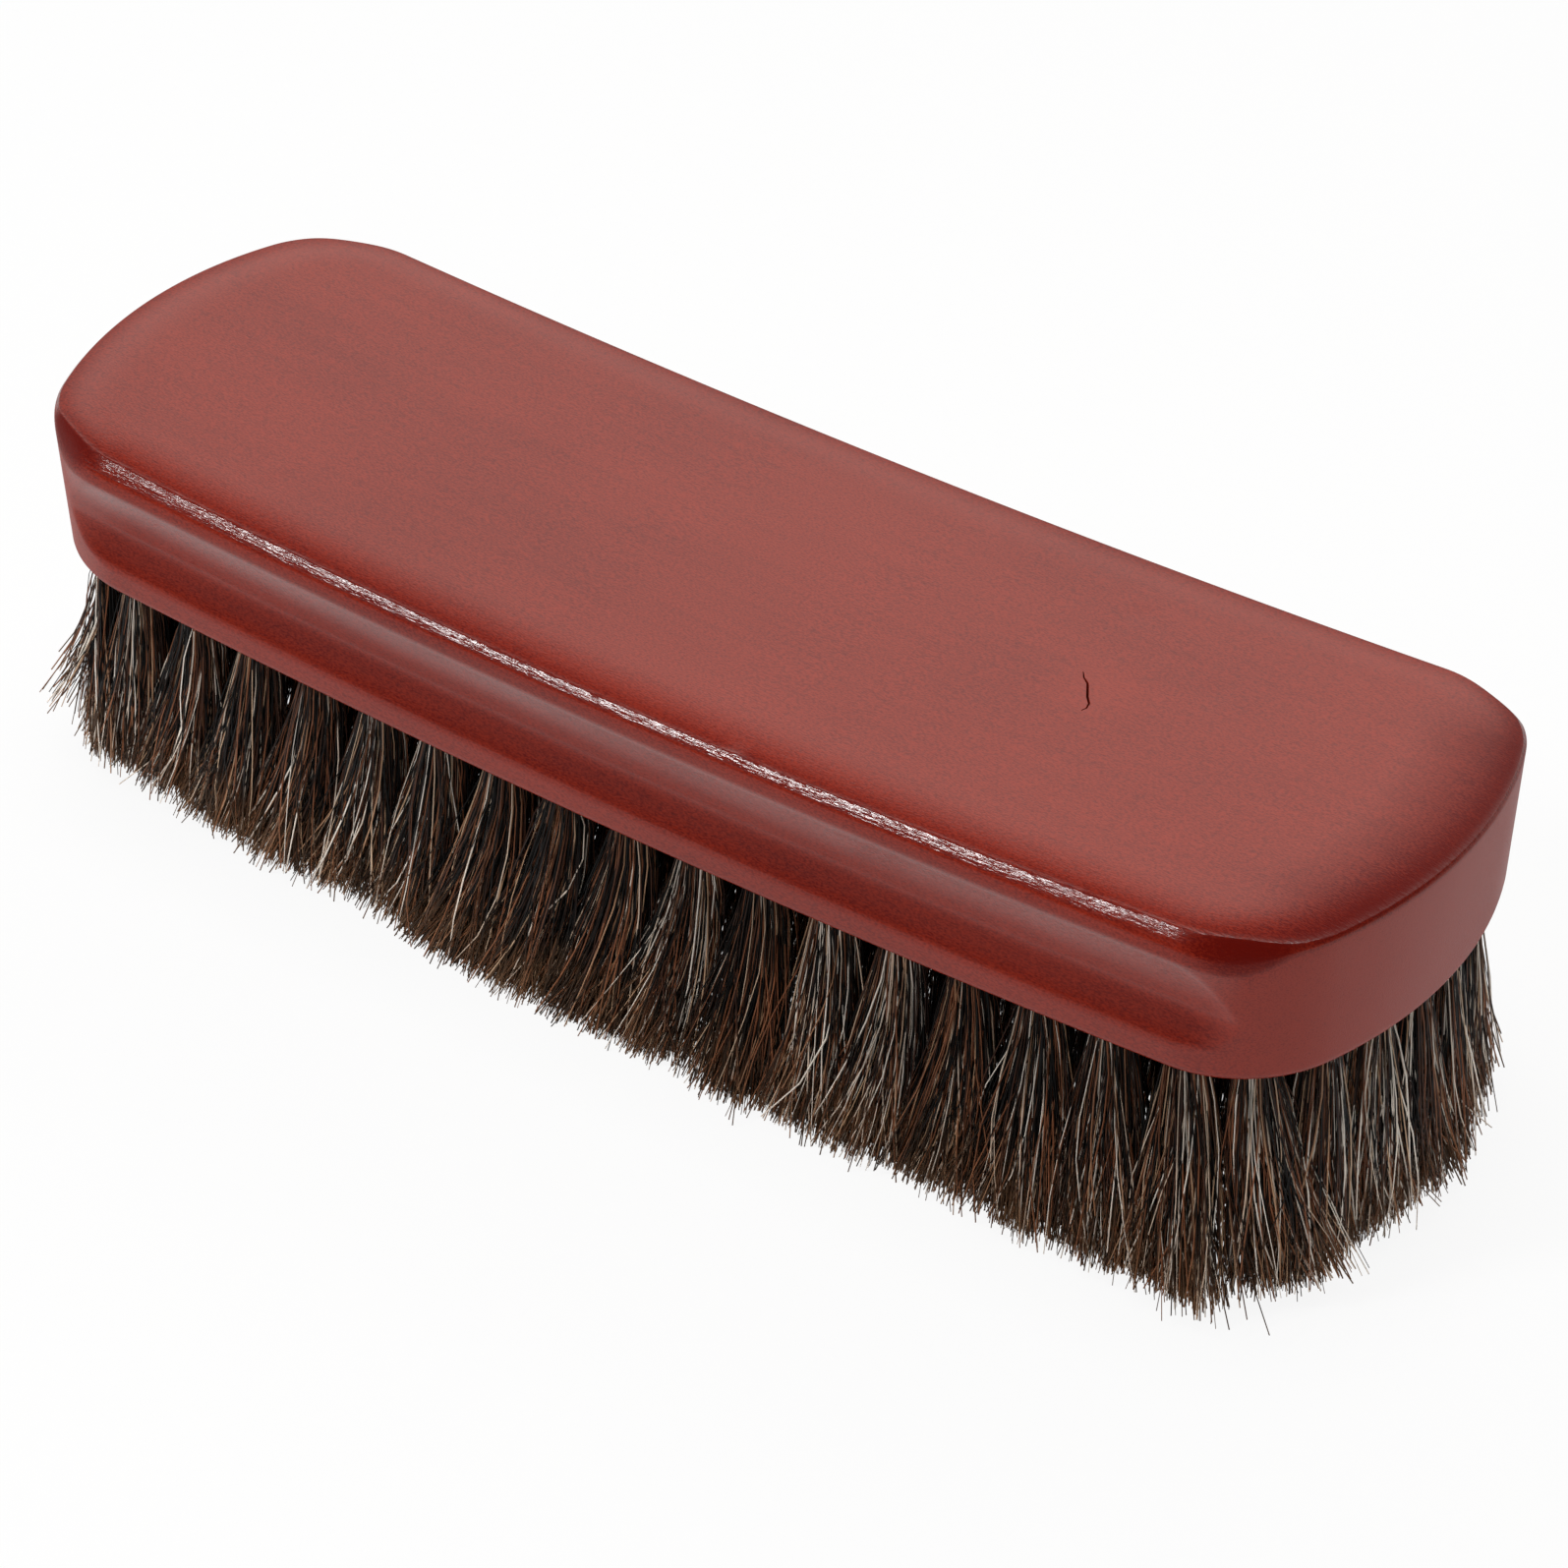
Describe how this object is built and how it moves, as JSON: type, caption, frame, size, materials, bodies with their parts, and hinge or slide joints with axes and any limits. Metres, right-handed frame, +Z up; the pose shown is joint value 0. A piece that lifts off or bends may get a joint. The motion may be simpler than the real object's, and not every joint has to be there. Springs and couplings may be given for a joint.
{
  "type": "shoe shine brush",
  "caption": "Shoe shine brush with a bowed, red-stained wooden block, finger coves along both sides and dark horsehair tufts stapled into drilled holes.",
  "frame": {"origin": "under the middle of the brush, on the plane that its lowest hair tips touch", "axes": "+X along the block's length, +Y across it, +Z up from the hair tips to the wooden back"},
  "size_m": [0.1754, 0.0582, 0.0471],
  "materials": {
    "stained_wood": "satin",
    "horsehair": "matte",
    "staple_wire": "satin"
  },
  "bodies": {
    "root": {"wooden_block": "stained_wood", "hair_tufts_01": "horsehair", "hair_tufts_02": "horsehair", "hair_tufts_03": "horsehair", "hair_tufts_04": "horsehair", "hair_tufts_05": "horsehair", "hair_tufts_06": "horsehair", "hair_tufts_07": "horsehair", "hair_tufts_08": "horsehair", "hair_tufts_09": "horsehair", "hair_tufts_10": "horsehair", "hair_tufts_11": "horsehair", "hair_tufts_12": "horsehair", "hair_tufts_13": "horsehair", "hair_tufts_14": "horsehair", "hair_tufts_15": "horsehair", "hair_tufts_16": "horsehair", "hair_tufts_17": "horsehair", "hair_tufts_18": "horsehair", "hair_tufts_19": "horsehair", "wire_staples_01": "staple_wire", "wire_staples_02": "staple_wire", "wire_staples_03": "staple_wire", "wire_staples_04": "staple_wire", "wire_staples_05": "staple_wire", "wire_staples_06": "staple_wire", "wire_staples_07": "staple_wire", "wire_staples_08": "staple_wire", "wire_staples_09": "staple_wire", "wire_staples_10": "staple_wire", "wire_staples_11": "staple_wire", "wire_staples_12": "staple_wire", "wire_staples_13": "staple_wire", "wire_staples_14": "staple_wire", "wire_staples_15": "staple_wire", "wire_staples_16": "staple_wire", "wire_staples_17": "staple_wire", "wire_staples_18": "staple_wire", "wire_staples_19": "staple_wire"}
  },
  "joints": []
}
